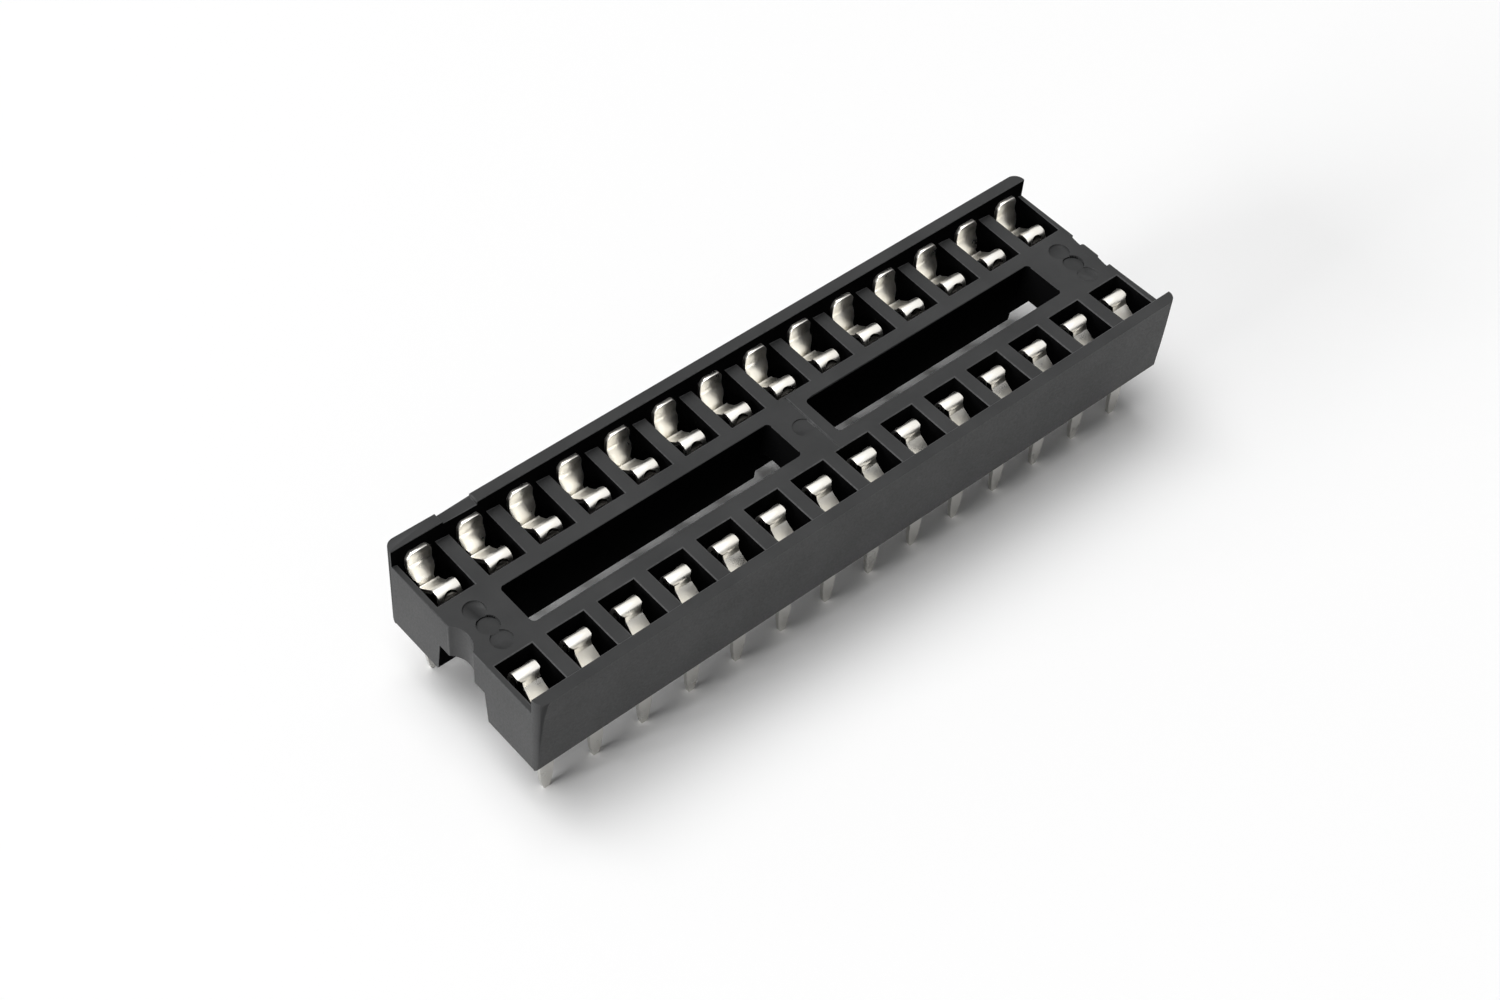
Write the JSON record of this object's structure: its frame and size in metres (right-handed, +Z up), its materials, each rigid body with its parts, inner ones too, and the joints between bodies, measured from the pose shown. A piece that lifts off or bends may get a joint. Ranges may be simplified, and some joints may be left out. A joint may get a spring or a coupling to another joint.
{
  "type": "ic socket",
  "caption": "Dual-in-line chip socket: a black ladder-shaped moulded housing with two rows of stamped dual-wipe spring contacts and flat tapered solder tails.",
  "frame": {"origin": "centre of the footprint, in the plane of the tail tips", "axes": "+X along the two rows, from the end with the rounded index notch to the end with the tab; +Y across the rows; +Z up, the way a chip lifts out"},
  "size_m": [0.0354, 0.0102, 0.0077],
  "materials": {
    "housing_plastic": "moulded glass-filled thermoplastic, fine matt",
    "tinned_contact": "bright tin plating over a stamped copper-alloy strip"
  },
  "bodies": {
    "root": {"housing": "housing_plastic", "contact_01": "tinned_contact", "contact_02": "tinned_contact", "contact_03": "tinned_contact", "contact_04": "tinned_contact", "contact_05": "tinned_contact", "contact_06": "tinned_contact", "contact_07": "tinned_contact", "contact_08": "tinned_contact", "contact_09": "tinned_contact", "contact_10": "tinned_contact", "contact_11": "tinned_contact", "contact_12": "tinned_contact", "contact_13": "tinned_contact", "contact_14": "tinned_contact", "contact_15": "tinned_contact", "contact_16": "tinned_contact", "contact_17": "tinned_contact", "contact_18": "tinned_contact", "contact_19": "tinned_contact", "contact_20": "tinned_contact", "contact_21": "tinned_contact", "contact_22": "tinned_contact", "contact_23": "tinned_contact", "contact_24": "tinned_contact", "contact_25": "tinned_contact", "contact_26": "tinned_contact", "contact_27": "tinned_contact", "contact_28": "tinned_contact"}
  },
  "joints": []
}
